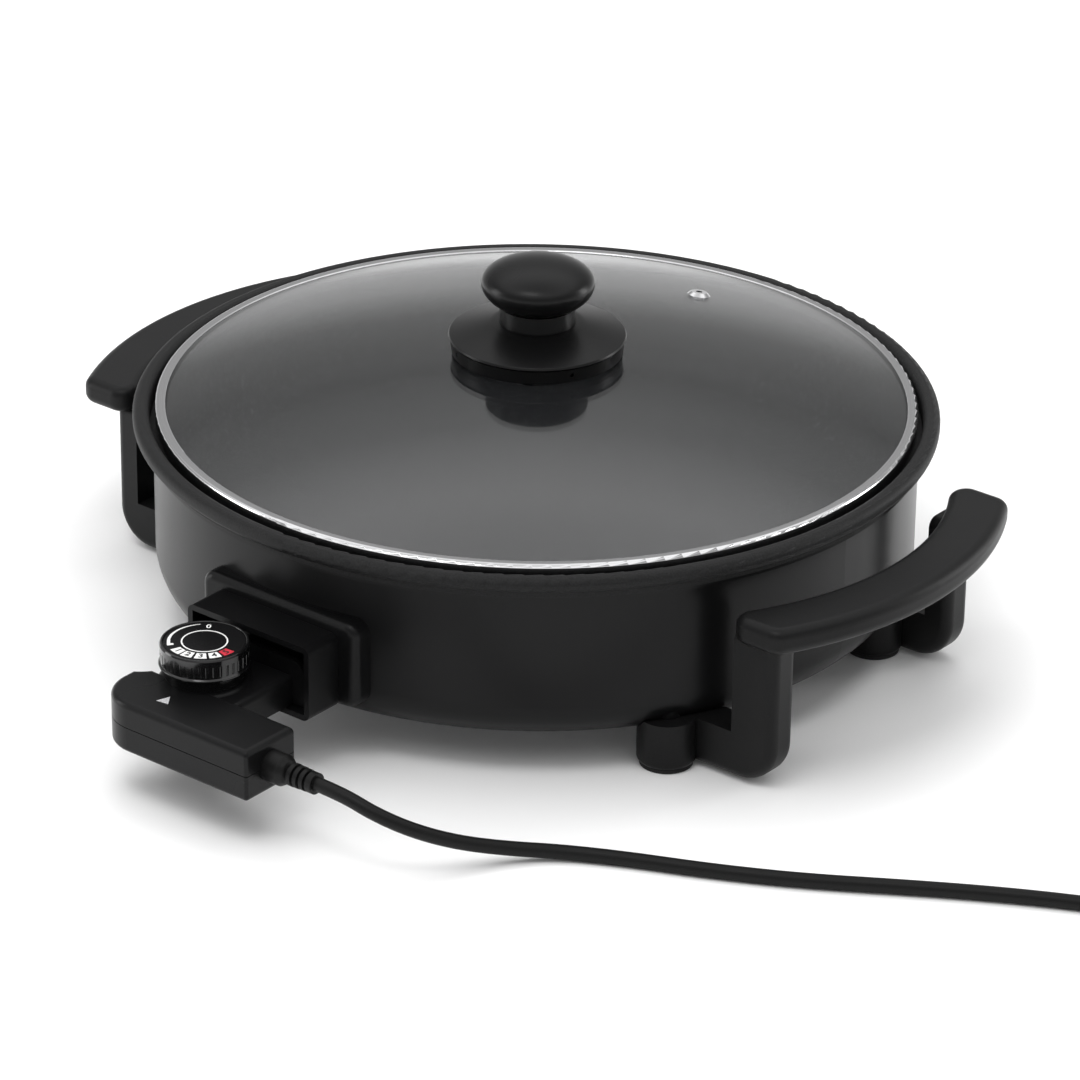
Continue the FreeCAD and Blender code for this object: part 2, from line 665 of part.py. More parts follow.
def make_knob():
    disc = turned("base_disc", [
        ("knob_screw_radius+0.4", "base_bottom"),
        ("skirt_radius-4", "base_bottom"),
        ("skirt_radius-1", "base_bottom+0.4"),
        ("skirt_radius", "base_edge-1.6"),
        ("base_radius-1.2", "base_edge-1.4"),
        ("base_radius", "base_edge-0.6"),
        ("base_radius-0.6", "base_edge+0.4", "0.4"),
        ("neck_radius+4", "neck_bottom-0.6", "14"),
        ("neck_radius-1", "neck_bottom"),
        ("knob_screw_radius+0.4", "neck_bottom"),
    ])
    slots = [block(f"base_slot_{k}", "0", "6", "-0.8", "0.8", "base_bottom+3.2", "base_bottom+5.4")
             for k in range(4)]
    for k, slot in enumerate(slots):
        angle = 90 * k - 29
        place(slot, f"(skirt_radius-3)*cos({angle})", f"(skirt_radius-3)*sin({angle})", "base_bottom+3.2",
              axis=(0, 0, 1), angle=angle)
    hollow = ball("base_hollow", DOME_RADIUS + "+gasket_thickness", DOME_CENTRE)
    node("knob_base", cut("base_cut", disc, fuse("base_room", hollow, *slots)))
    gasket = cut("gasket_ring", cylinder("gasket_disc", "lid_cap_radius", "dome_rise", z="dome_edge"),
                 cylinder("gasket_hole", "knob_screw_radius+0.4", "dome_rise*2", z="dome_edge"))
    gasket_top = ball("gasket_top", DOME_RADIUS + "+gasket_thickness", DOME_CENTRE)
    node("knob_gasket", cut("gasket_cut", common("gasket_cap", gasket, gasket_top),
                            ball("gasket_under", DOME_RADIUS, DOME_CENTRE)))
    neck = cylinder("neck_ring", "neck_radius", "knob_height-knob_belly*0.78-neck_bottom", z="neck_bottom")
    neck_bore = cylinder("neck_bore", "knob_screw_radius+0.4", "knob_height", z="neck_bottom-1")
    belly_room = bind(doc.addObject("Part::Ellipsoid", "belly_room"), Radius1="knob_belly",
                      Radius2="knob_radius", Radius3="knob_radius")
    place(belly_room, z="knob_height")
    node("knob_neck", cut("neck_cut", neck, fuse("neck_room", neck_bore, belly_room)))
    crown = bind(doc.addObject("Part::Ellipsoid", "knob_crown_half"), Radius1="knob_crown",
                 Radius2="knob_radius", Radius3="knob_radius")
    crown.Angle1 = 0
    belly = bind(doc.addObject("Part::Ellipsoid", "knob_belly_half"), Radius1="knob_belly",
                 Radius2="knob_radius", Radius3="knob_radius")
    belly.Angle2 = 0
    place(crown, z="knob_height")
    place(belly, z="knob_height")
    thread = cylinder("knob_thread", "knob_screw_radius", "knob_belly+4", z="knob_height-knob_belly-4")
    node("knob_cap", cut("cap_cut", fuse("cap_solid", crown, belly), thread))
    lower = turned("lid_cap_ring", [
        ("knob_screw_radius", "dome_edge+dome_rise-glass_thickness-lid_cap_drop"),
        ("lid_cap_radius-5", "dome_edge+dome_rise-glass_thickness-lid_cap_drop"),
        ("lid_cap_radius", "dome_edge+dome_rise-glass_thickness-lid_cap_drop+5"),
        ("lid_cap_radius", "dome_edge+dome_rise"),
        ("knob_screw_radius", "dome_edge+dome_rise"),
    ])
    node("under_lid_cap", common("lid_cap_common", lower,
                                 ball("lid_cap_room", DOME_RADIUS + "-glass_thickness", DOME_CENTRE)))
    cap_bottom = "(dome_edge+dome_rise-glass_thickness-lid_cap_drop)"
    shank = cylinder("knob_shank", "knob_screw_radius", f"knob_height-4-{cap_bottom}", z=cap_bottom)
    head = cylinder("knob_screw_head", "knob_screw_radius*2.1", "2.6", z=cap_bottom + "-2.6")
    node("knob_screw", fuse("knob_screw_solid", shank, head))


# Heat control: two shells with a nose that plugs into the socket
def control_plan(name, inset, low, high):
    """The control's plan as a solid between two heights, drawn in by an inset."""
    bar = block(name + "_bar", f"control_left+({inset})", f"control_right-({inset})",
                f"-control_front+({inset})", f"-control_front+control_depth-({inset})", low, high)
    middle = (size("control_left") + size("control_right")) / 2
    front = -size("control_front") + size("control_depth") / 2
    left = rounded(name + "_left", bar, f"control_corner-({inset})", lambda edge: upright(edge)
                   and edge.BoundBox.XMin < middle and edge.BoundBox.YMin < front)
    soft = rounded(name + "_bar_soft", left, "1.6", lambda edge: upright(edge)
                   and (edge.BoundBox.XMin > middle or edge.BoundBox.YMin > front))
    waist = cylinder(name + "_waist", f"waist_radius+({inset})", f"({high})-({low})", "waist_x", "-waist_y",
                     low)
    deck = cylinder(name + "_deck", f"deck_radius-({inset})", f"({high})-({low})", "dial_x", "-dial_y", low)
    return fuse(name, cut(name + "_waisted", soft, waist), deck)


def at_height(height, gap=0.02):
    level = size(height)
    return lambda edge: edge.BoundBox.ZMax < level + gap and edge.BoundBox.ZMin > level - gap


def control_bosses(name, radius, low, high):
    spots = (("control_left+control_corner", "-control_front+control_depth/2"),
             ("control_right-14", "-control_front+9"), ("control_right-14", "-control_front+control_depth-9"))
    return [cylinder(f"{name}_{k}", radius, f"({high})-({low})", x, y, low) for k, (x, y) in enumerate(spots)]


def nose(name, low, high):
    return block(name, "nose_left", "nose_right", "-control_front+control_depth-3", "-nose_end", low, high)


def make_control():
    wall = "control_wall"
    top = "control_top"
    bottom = "control_bottom"
    seam = "control_seam"
    sleeve = "pin_diameter/2+fit_gap+sleeve_wall"
    relief_hole = cylinder("relief_hole", "relief_radius*0.6", "8", "control_right-6",
                           "-control_front+control_depth/2", seam, **ALONG_X)

    def nose_bores(name):
        bores = both_pins(name + "_sleeve_bore", sleeve, "nose_end+sleeve_length", "nose_end-1")
        probe = cylinder(name + "_probe_bore", "probe_diameter/2", "dial_y", 0, "0", "element_height",
                         **ALONG_MINUS_Y)
        return bores + [probe]

    upper_plan = control_plan("upper_plan", "0", seam + "+seam_gap", top)
    upper_soft = rounded("upper_soft", upper_plan, "control_round", at_height(top))
    riser = cylinder("riser", "riser_radius", "riser_height+1", "dial_x", "-dial_y", "control_top-1")
    flange = block("flange", "flange_left", "flange_right", "-flange_y", "-flange_y+flange_thickness",
                   seam, "flange_high")
    flange_soft = rounded("flange_soft", flange, "7", lambda edge: edge.BoundBox.XLength < 0.01
                          and edge.BoundBox.ZLength < 0.01 and edge.BoundBox.ZMax > size("flange_high") - 0.1)
    upper_room = control_plan("upper_room", wall, seam + "-1", f"{top}-{wall}")
    upper_nose = rounded("upper_nose_soft", nose("upper_nose", seam, "nose_high"), "control_round",
                         lambda edge: at_height("nose_high")(edge) and edge.BoundBox.XLength < 0.01
                         and edge.BoundBox.XMin > 0)
    upper_hollow = cut("upper_hollow", fuse("upper_outside", upper_soft, upper_nose), upper_room)
    posts = control_bosses("upper_boss", "3", seam, top + "-1")
    upper_all = fuse("upper_all", upper_hollow, riser, flange_soft, *posts)
    shaft_hole = cylinder("shaft_hole", "shaft_radius+fit_gap", "40", "dial_x", "-dial_y", seam)
    upper_pilots = control_bosses("upper_pilot", "1.2", seam + "-1", seam + "+5")
    node("control_upper_shell", cut("upper_cut", upper_all, fuse(
        "upper_holes", shaft_hole, relief_hole, *nose_bores("upper"), *upper_pilots)))

    lower_plan = control_plan("lower_plan", "0", bottom, seam)
    lower_soft = rounded("lower_soft", lower_plan, "control_round*0.8", at_height(bottom))
    lower_room = control_plan("lower_room", wall, f"{bottom}+{wall}", seam + "+1")
    lower_outside = fuse("lower_outside", lower_soft, nose("lower_nose", "nose_low", seam))
    lower_hollow = cut("lower_hollow", lower_outside, lower_room)
    low_flange = block("low_flange", "flange_left", "flange_right", "-flange_y", "-flange_y+flange_thickness",
                       "nose_low", seam)
    lower_posts = control_bosses("lower_boss", "3.6", bottom + "+1", seam)
    lower_all = fuse("lower_all", lower_hollow, low_flange, *lower_posts)
    lower_relief = cylinder("lower_relief_hole", "relief_radius*0.6", "8", "control_right-6",
                            "-control_front+control_depth/2", seam, **ALONG_X)
    lower_holes = control_bosses("lower_hole", "1.2", bottom + "-1", seam + "+1")
    lower_heads = control_bosses("lower_head", "2.7", bottom + "-1", bottom + "+3")
    node("control_lower_shell", cut("lower_cut", lower_all, fuse(
        "lower_holes", lower_relief, *nose_bores("lower"), *lower_holes, *lower_heads)))

    shanks = control_bosses("control_shank", "1.2", bottom + "+3", seam + "+5")
    heads = control_bosses("control_head", "2.6", bottom + "+1", bottom + "+3")
    node("control_screws", group("control_screw_set", *[fuse(f"control_screw_{k}", shank, head)
                                                        for k, (shank, head) in enumerate(zip(shanks, heads))]))
    switch = block("switch_block", "dial_x-8", "dial_x+16", "-dial_y-12", "-dial_y+12",
                   f"{bottom}+{wall}", f"{seam}+6")
    node("thermostat_switch", rounded("switch_soft", switch, "1.5", upright))
    node("probe_rod", cylinder("probe", "probe_diameter/2", "dial_y-12-probe_tip", 0, "-probe_tip",
                               "element_height", **ALONG_MINUS_Y))
    outer = both_pins("sleeve", sleeve, "nose_end+sleeve_length", "nose_end")
    inner = both_pins("sleeve_inner", "pin_diameter/2+fit_gap", "nose_end+sleeve_length+1", "nose_end-1")
    node("contact_sleeves", group("sleeves", *[cut(f"sleeve_{k}", a, b)
                                               for k, (a, b) in enumerate(zip(outer, inner))]))


def make_dial():
    base = "control_top+riser_height+fit_gap"
    knob = turned("dial_solid", [
        ("shaft_radius", "0"),
        ("dial_radius-2.6", "0"),
        ("dial_radius-2.6", "1.0"),
        ("dial_radius", "1.0", "0.4"),
        ("dial_radius", "2.0", "0.4"),
        ("dial_radius-0.8", "2.6"),
        ("dial_radius-0.6", "dial_height-0.9"),
        ("dial_radius-1.2", "dial_height", "0.4"),
        ("dial_radius-2.2", "dial_height", "0.4"),
        ("dial_radius-2.4", "dial_height-0.9"),
        ("shaft_radius", "dial_height-0.9"),
    ])
    sketch = knob.newObject("Sketcher::SketchObject", "dial_rib_sketch")
    plane = [item for item in knob.Origin.OriginFeatures if item.Role == "XY_Plane"][0]
    sketch.AttachmentSupport = (plane, [""])
    sketch.MapMode = "FlatFace"
    sketch.AttachmentOffset = FreeCAD.Placement(Vector(0, 0, 3.2), FreeCAD.Rotation())
    sketch.addGeometry(Part.Circle(Vector(size("dial_radius"), 0, 0), Vector(0, 0, 1), 1.0))
    numbers = [sketch.addConstraint(Sketcher.Constraint("PointOnObject", 0, 3, -1)),
               sketch.addConstraint(Sketcher.Constraint("DistanceX", 0, 3, size("dial_radius"))),
               sketch.addConstraint(Sketcher.Constraint("Radius", 0, 1.0))]
    sketch.setExpression(f"Constraints[{numbers[1]}]", link("dial_radius"))
    doc.recompute()
    groove = knob.newObject("PartDesign::Pocket", "dial_groove")
    groove.Profile = sketch
    groove.Reversed = True
    bind(groove, Length="dial_height*0.45")
    ring = knob.newObject("PartDesign::PolarPattern", "dial_grooves")
    ring.Originals = [groove]
    ring.Axis = (sketch, ["N_Axis"])
    ring.Angle = 360
    bind(ring, Occurrences="dial_ribs")
    knob.Tip = ring
    place(knob, "dial_x", "-dial_y", base)
    node("dial", knob)
    node("dial_face", cylinder("dial_face_disc", "dial_radius-2.6", "0.5", "dial_x", "-dial_y",
                               base + "+dial_height-0.9"))
    shaft = cylinder("shaft_rod", "shaft_radius", f"{base}+dial_height-0.9-(control_seam+6.4)", "dial_x",
                     "-dial_y", "control_seam+6.4")
    node("dial_shaft", shaft)


# Cord: strain relief, free stretch, coil and plug
def make_relief():
    corners = [("0", "-4"), ("relief_radius*0.6", "-4"), ("relief_radius*0.6", "0"), ("relief_radius", "0"),
               ("relief_radius", "relief_length*0.3", "0.8"), ("relief_tip+0.6", "relief_length*0.4")]
    for k in range(4):
        start = 0.44 + 0.13 * k
        corners += [(f"relief_tip-1.2-{0.1 * k}", f"relief_length*{start:.2f}"),
                    (f"relief_tip-1.2-{0.1 * k}", f"relief_length*{start + 0.05:.2f}"),
                    (f"relief_tip+0.4-{0.15 * k}", f"relief_length*{start + 0.05:.2f}"),
                    (f"relief_tip+0.4-{0.15 * k}", f"relief_length*{start + 0.13:.2f}" if k < 3
                     else "relief_length")]
    corners += [("0", "relief_length")]
    boot = turned("relief_solid", corners)
    place(boot, "control_right", "-control_front+control_depth/2", "control_seam", **ALONG_X)
    node("strain_relief", boot)


ROUTE = [
    (88.0, -267.0, 37.0),
    (104.0, -267.0, 37.0),
    (120.0, -264.0, 31.5),
    (134.0, -253.0, 23.0),
    (146.0, -236.0, 14.0),
    (159.0, -216.0, 7.0),
    (176.0, -198.0, 3.8),
    (204.0, -183.0, 3.6),
    (238.0, -168.0, 3.6),
    (276.0, -148.0, 3.6),
    (316.0, -122.0, 3.6),
    (352.0, -100.0, 3.6),
    (386.0, -82.0, 3.6),
    (416.0, -69.0, 3.6),
    (442.0, -62.0, 3.6),
]


def tube_path(points):
    """Straight runs joined by tangent arcs, each as large as its two runs allow."""
    places = [Vector(*point) for point in points]
    edges = []
    radii = []
    last = places[0]
    for before, corner, after in zip(places, places[1:], places[2:]):
        back = before - corner
        ahead = after - corner
        turn = math.pi - back.getAngle(ahead)
        radius = 0.45 * min(back.Length, ahead.Length) / math.tan(turn / 2)
        reach = 0.45 * min(back.Length, ahead.Length)
        start = corner + Vector(back).normalize() * reach
        end = corner + Vector(ahead).normalize() * reach
        inward = (Vector(back).normalize() + Vector(ahead).normalize()).normalize()
        centre_way = radius / math.cos(turn / 2)
        middle = corner + inward * (centre_way - radius)
        edges.append(Part.makeLine(last, start))
        edges.append(Part.Arc(start, middle, end).toShape())
        radii.append(round(radius, 1))
        last = end
    edges.append(Part.makeLine(last, places[-1]))
    return Part.Wire(edges), radii


def tube(wire, diameter):
    first = wire.Edges[0]
    start = first.valueAt(first.FirstParameter)
    way = first.tangentAt(first.FirstParameter)
    section = Part.Wire(Part.makeCircle(diameter / 2, start, way))
    return wire.makePipeShell([section], True, False)


def bend_pair(start, way, end, way_out):
    """Two tangent arcs that leave start along way and reach end along way_out."""
    gap = end - start
    both = way + way_out
    spread = 2 * (1 - way.dot(way_out))
    reach = (-gap.dot(both) + math.sqrt(gap.dot(both) ** 2 + spread * gap.dot(gap))) / spread
    meet = (start + end + (way - way_out) * reach) * 0.5

    def half(foot, tangent, far):
        chord = far - foot
        normal = chord - tangent * chord.dot(tangent)
        radius = chord.dot(chord) / (2 * chord.dot(Vector(normal).normalize()))
        centre = foot + Vector(normal).normalize() * radius
        middle = centre + ((foot + far) * 0.5 - centre).normalize() * radius
        return Part.Arc(foot, middle, far).toShape()

    return [half(start, way, meet), half(end, way_out * -1, meet)]


def coil_point(centre, start_angle, turned_by):
    """A point and direction on the coil: in by one and a half turns, up a layer, out by one turn."""
    outer = size("coil_radius")
    step = size("coil_step")
    rate = step / (2 * math.pi)
    inward = 3 * math.pi
    low = size("cord_diameter/2+0.1")
    if turned_by <= inward:
        radius, slope, height, climb = outer - rate * turned_by, -rate, low, 0.0
    elif turned_by < inward + math.pi:
        part = turned_by - inward
        radius, slope = outer - rate * inward - rate * math.sin(part), -rate * math.cos(part)
        height, climb = low + step * (1 - math.cos(part)) / 2, step * math.sin(part) / 2
    else:
        part = turned_by - inward - math.pi
        radius, slope, height, climb = outer - rate * inward + rate * part, rate, low + step, 0.0
    angle = start_angle + turned_by
    across = Vector(math.cos(angle), math.sin(angle), 0)
    along = Vector(-math.sin(angle), math.cos(angle), 0)
    way = across * slope + along * radius + Vector(0, 0, climb)
    return centre + across * radius + Vector(0, 0, height), way.normalize()


def coil_wire():
    """The wound end of the cord: a short straight, the turns, and a tail that comes down to the plug."""
    end = Vector(*ROUTE[-1])
    heading = (end - Vector(*ROUTE[-2])).normalize()
    begin = end + heading * size("cord_diameter")
    left = Vector(-heading.y, heading.x, 0)
    centre = begin + left * size("coil_radius")
    centre.z = 0.0
    start_angle = math.atan2(-left.y, -left.x)
    quarter = math.pi / 2
    stops = [coil_point(centre, start_angle, quarter * k) for k in range(13)]
    stops[0] = (begin, heading)
    edges = [Part.makeLine(end, begin)]
    for (point, way), (next_point, next_way) in zip(stops, stops[1:]):
        edges += bend_pair(point, way, next_point, next_way)
    last, way = stops[-1]
    rest = size("plug_height/2")
    spots = [last, last + way * 24, last + way * 50, last + way * 72]
    for k in (2, 3):
        spots[k].z = rest
    tail, radii = tube_path([tuple(spot) for spot in spots])
    return Part.Wire(Part.__sortEdges__(edges + tail.Edges)), spots[-1], way


def least_gap(wire, diameter):
    """The nearest that the wound cord's surface comes to itself, from points along its line."""
    points = []
    travelled = 0.0
    for edge in wire.OrderedEdges:
        count = max(2, int(edge.Length / 2))
        for k in range(count):
            point = edge.valueAt(edge.FirstParameter + (edge.LastParameter - edge.FirstParameter) * k / count)
            points.append((travelled + edge.Length * k / count, point))
        travelled += edge.Length
    return min((a - b).Length for i, (s, a) in enumerate(points) for t, b in points[i + 1:]
               if t - s > diameter * 6) - diameter


def make_cord():
    diameter = size("cord_diameter")
    wire, radii = tube_path(ROUTE)
    stretch = tube(wire, diameter)
    area = math.pi * diameter ** 2 / 4
    print("bend radii", radii)
    print("stretch volume over section times length", round(stretch.Volume / (area * wire.Length), 4))
    node("power_cord", feature("cord_stretch", stretch))
    wound, tip, way = coil_wire()
    coil = tube(wound, diameter)
    print("coil volume over section times length", round(coil.Volume / (area * wound.Length), 4))
    print("coil least gap", round(least_gap(wound, diameter), 3), "cord length",
          round(wire.Length + wound.Length, 1))
    node("cord_coil", feature("coil", coil))
    return tip, math.degrees(math.atan2(way.y, way.x))


def make_plug(tip, angle):
    body = block("plug_block", "0", "plug_length", "-plug_width/2", "plug_width/2", "0", "plug_height")
    corners = rounded("plug_corners", body, "plug_height*0.35", upright)
    shape = rounded("plug_soft", corners, "1.5", lambda edge: edge.BoundBox.ZLength < 0.01)
    blades = []
    for side, y in (("left", "blade_spacing/2"), ("right", "-blade_spacing/2")):
        blades.append(block("blade_" + side, "plug_length-8", "plug_length+blade_length", f"{y}-0.75",
                            f"{y}+0.75", "plug_height/2-3.2", "plug_height/2+3.2"))
    pair = group("blades", *blades)
    slots = fuse("blade_slots", *blades)
    solid = cut("plug_cut", shape, slots)
    for item in (solid, pair):
        place(item, tip.x, tip.y, 0, axis=(0, 0, 1), angle=angle)
    node("plug_body", solid)
    node("plug_blades", pair)


def make_pointer():
    body = padded("pointer_solid", "XY_Plane", [
        ("-pointer_size/2", "-pointer_size/2"),
        ("pointer_size/2", "-pointer_size/2"),
        ("0", "pointer_size/2"),
    ], "0.3")
    place(body, "pointer_x", "-pointer_y", "control_top", axis=(0, 0, 1), angle="pointer_turn")
    node("pointer_mark", body)


def finish():
    doc.recompute()
    faults = [item.Label for item in doc.Objects if set(item.State) & {"Invalid", "Error"}]
    faults += [item.Label for item in nodes if item.Shape.isNull() or not item.Shape.isValid()]
    if faults:
        raise SystemExit("faulty objects: " + ", ".join(faults))
    os.makedirs("parts", exist_ok=True)
    for item in nodes:
        item.Shape.exportStep(f"parts/{item.Label}.step")
        box = item.Shape.BoundBox
        print(item.Label, len(item.Shape.Solids), round(item.Shape.Volume, 1),
              [round(value, 1) for value in (box.XMin, box.XMax, box.YMin, box.YMax, box.ZMin, box.ZMax)])


make_pan()
make_base()
make_heater()
make_socket()
make_handle("right")
make_handle("left")
make_feet()
make_lid()
make_knob()
make_control()
make_dial()
make_pointer()
make_relief()
make_plug(*make_cord())
finish()
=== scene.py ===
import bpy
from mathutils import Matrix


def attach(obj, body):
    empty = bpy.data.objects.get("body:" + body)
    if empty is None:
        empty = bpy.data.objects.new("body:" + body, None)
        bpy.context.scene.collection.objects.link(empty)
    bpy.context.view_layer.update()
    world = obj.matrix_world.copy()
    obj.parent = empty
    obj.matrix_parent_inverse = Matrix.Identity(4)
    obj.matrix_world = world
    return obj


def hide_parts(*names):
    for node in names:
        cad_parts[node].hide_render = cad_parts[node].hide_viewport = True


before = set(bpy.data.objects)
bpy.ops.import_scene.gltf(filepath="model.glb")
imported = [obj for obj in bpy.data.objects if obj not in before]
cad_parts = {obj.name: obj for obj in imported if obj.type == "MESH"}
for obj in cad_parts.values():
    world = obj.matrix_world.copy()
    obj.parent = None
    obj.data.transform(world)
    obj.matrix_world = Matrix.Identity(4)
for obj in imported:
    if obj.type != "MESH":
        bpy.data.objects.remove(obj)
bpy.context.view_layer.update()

import math

import bmesh
import bpy
from mathutils import Matrix, Vector

# The pan's axis in the row frame, in metres
AXIS_Y = 0.042
DIAL_CENTRE = Vector((-0.0065, -0.2383 + AXIS_Y, 0.0))
DIAL_FACE_TOP = 0.06745
VIEW_TURN = math.radians(38.6)
VIEW_PITCH = math.radians(26.217)
VIEW_ROLL = math.radians(0.743)
VIEW_DISTANCE = 2.6
VIEW_AIM = Vector((0.00258, 0, 0.03278))
LENS = 172.5
SENSOR = 36.0


# Camera, at the place fitted to the photograph
def make_camera():
    forward = Vector((0, math.cos(VIEW_PITCH), -math.sin(VIEW_PITCH)))
    across = Vector((1, 0, 0))
    up = Vector((0, math.sin(VIEW_PITCH), math.cos(VIEW_PITCH)))
    right = across * math.cos(VIEW_ROLL) + up * math.sin(VIEW_ROLL)
    top = up * math.cos(VIEW_ROLL) - across * math.sin(VIEW_ROLL)
    place = VIEW_AIM - forward * VIEW_DISTANCE
    turn = Matrix.Rotation(VIEW_TURN, 3, "Z")
    right, top, back, place = (turn @ v for v in (right, top, -forward, place))
    place.y += AXIS_Y
    data = bpy.data.cameras.new("camera")
    data.lens = LENS
    data.sensor_width = SENSOR
    data.sensor_fit = "HORIZONTAL"
    data.clip_end = 50.0
    camera = bpy.data.objects.new("camera", data)
    bpy.context.collection.objects.link(camera)
    rotation = Matrix((right, top, back)).transposed()
    camera.matrix_world = Matrix.Translation(place) @ rotation.to_4x4()
    bpy.context.scene.camera = camera


# Cord: the route's points, then the coil's turns, then the tail to the plug
ROUTE = [
    (88.0, -267.0, 37.0),
    (104.0, -267.0, 37.0),
    (120.0, -264.0, 31.5),
    (134.0, -253.0, 23.0),
    (146.0, -236.0, 14.0),
    (159.0, -216.0, 7.0),
    (176.0, -198.0, 3.8),
    (204.0, -183.0, 3.6),
    (238.0, -168.0, 3.6),
    (276.0, -148.0, 3.6),
    (316.0, -122.0, 3.6),
    (352.0, -100.0, 3.6),
    (386.0, -82.0, 3.6),
    (416.0, -69.0, 3.6),
    (442.0, -62.0, 3.6),
]
COIL_RADIUS = 48.0
COIL_STEP = 7.6
COIL_POINTS = 36
CORD_WIDTH = 7.0
TAIL_STEPS = (24, 50, 72)
TAIL_HEIGHT = 7.5


def coil_places():
    """Twelve points a turn: in by one and a half turns, half a turn up to the next layer, out by one turn."""
    end = Vector(ROUTE[-1])
    heading = (end - Vector(ROUTE[-2])).normalized()
    left = Vector((-heading.y, heading.x, 0))
    centre = end + heading * CORD_WIDTH + left * COIL_RADIUS
    start = math.atan2(-left.y, -left.x)
    rate = COIL_STEP / (2 * math.pi)
    low = ROUTE[-1][2]
    inward = 3 * math.pi
    spread = 1 / math.cos(math.pi / 12)
    places = []
    for k in range(COIL_POINTS):
        turned = math.pi / 6 * (k + 0.5)
        if turned <= inward:
            radius, height = COIL_RADIUS - rate * turned, low
        elif turned < inward + math.pi:
            part = turned - inward
            radius = COIL_RADIUS - rate * inward - rate * math.sin(part)
            height = low + COIL_STEP * (1 - math.cos(part)) / 2
        else:
            radius = COIL_RADIUS - rate * inward + rate * (turned - inward - math.pi)
            height = low + COIL_STEP
        angle = start + turned
        places.append(Vector((centre.x + radius * spread * math.cos(angle),
                              centre.y + radius * spread * math.sin(angle), height)))
    out = COIL_RADIUS - rate * 3 * math.pi + rate * 2 * math.pi
    last = Vector((centre.x - left.x * out, centre.y - left.y * out, low + COIL_STEP))
    tail = [last + heading * step for step in TAIL_STEPS]
    for place in tail[1:]:
        place.z = TAIL_HEIGHT
    return places + tail, centre, left


def make_cord():
    tail, centre, left = coil_places()
    places = [Vector(point) for point in ROUTE] + tail
    data = bpy.data.curves.new("cord", "CURVE")
    data.dimensions = "3D"
    spline = data.splines.new("NURBS")
    spline.points.add(len(places) - 1)
    for point, place in zip(spline.points, places):
        point.co = (place.x / 1000, place.y / 1000 + AXIS_Y, place.z / 1000, 1)
        point.radius = CORD_WIDTH / 2000
    spline.order_u = 3
    spline.use_endpoint_u = True
    spline.resolution_u = 8
    data.bevel_depth = 1.0
    data.bevel_resolution = 6
    cord = bpy.data.objects.new("mains_cord", data)
    bpy.context.collection.objects.link(cord)
    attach(cord, "control")
    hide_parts("power_cord", "cord_coil")
    return cord, centre, left


# Materials
PATCH_SCALE = 14.0


def new_material(name):
    material = bpy.data.materials.new(name)
    material.use_nodes = True
    nodes = material.node_tree.nodes
    shader = nodes["Principled BSDF"]
    return material, nodes, material.node_tree.links, shader


def math_node(nodes, links, kind, first, second=None):
    node = nodes.new("ShaderNodeMath")
    node.operation = kind
    for socket, value in zip(node.inputs, (first, second)):
        if value is None:
            continue
        if isinstance(value, (int, float)):
            socket.default_value = value
        else:
            links.new(value, socket)
    return node.outputs[0]


def grain(nodes, links, coordinate, scale, detail=3.0):
    noise = nodes.new("ShaderNodeTexNoise")
    noise.inputs["Scale"].default_value = scale
    noise.inputs["Detail"].default_value = detail
    links.new(coordinate, noise.inputs["Vector"])
    return noise.outputs["Fac"]


def remap(nodes, links, value, low, high, start=0.3, end=0.7):
    node = nodes.new("ShaderNodeMapRange")
    node.inputs["From Min"].default_value = start
    node.inputs["From Max"].default_value = end
    node.inputs["To Min"].default_value = low
    node.inputs["To Max"].default_value = high
    links.new(value, node.inputs["Value"])
    return node.outputs["Result"]


def mixed(nodes, links, factor, first, second):
    node = nodes.new("ShaderNodeMix")
    node.data_type = "RGBA"
    links.new(factor, node.inputs["Factor"])
    for key, value in (("A", first), ("B", second)):
        socket = [s for s in node.inputs if s.name == key and s.type == "RGBA"][0]
        if isinstance(value, tuple):
            socket.default_value = (*value, 1.0)
        else:
            links.new(value, socket)
    return [s for s in node.outputs if s.type == "RGBA"][0]


def surface(name, color, rough, spread=0.06, fine=1500.0, bump=0.08, metal=0.0, coat=0.0, shade=1.25,
            specular=0.18):
    """A moulded, painted or metal surface: fine grain, slow patches of roughness and of tone."""
    material, nodes, links, shader = new_material(name)
    coordinate = nodes.new("ShaderNodeTexCoord").outputs["Object"]
    slow = grain(nodes, links, coordinate, PATCH_SCALE, 2.0)
    quick = grain(nodes, links, coordinate, fine)
    darker = tuple(value / shade for value in color)
    lighter = tuple(min(1.0, value * shade) for value in color)
    links.new(mixed(nodes, links, remap(nodes, links, quick, 0.0, 1.0), darker, lighter),
              shader.inputs["Base Color"])
    links.new(remap(nodes, links, slow, rough - spread, rough + spread), shader.inputs["Roughness"])
    raise_node = nodes.new("ShaderNodeBump")
    raise_node.inputs["Strength"].default_value = bump
    raise_node.inputs["Distance"].default_value = 0.0004
    links.new(quick, raise_node.inputs["Height"])
    links.new(raise_node.outputs["Normal"], shader.inputs["Normal"])
    shader.inputs["Metallic"].default_value = metal
    shader.inputs["Coat Weight"].default_value = coat
    shader.inputs["Coat Roughness"].default_value = 0.12
    shader.inputs["Specular IOR Level"].default_value = specular
    return material


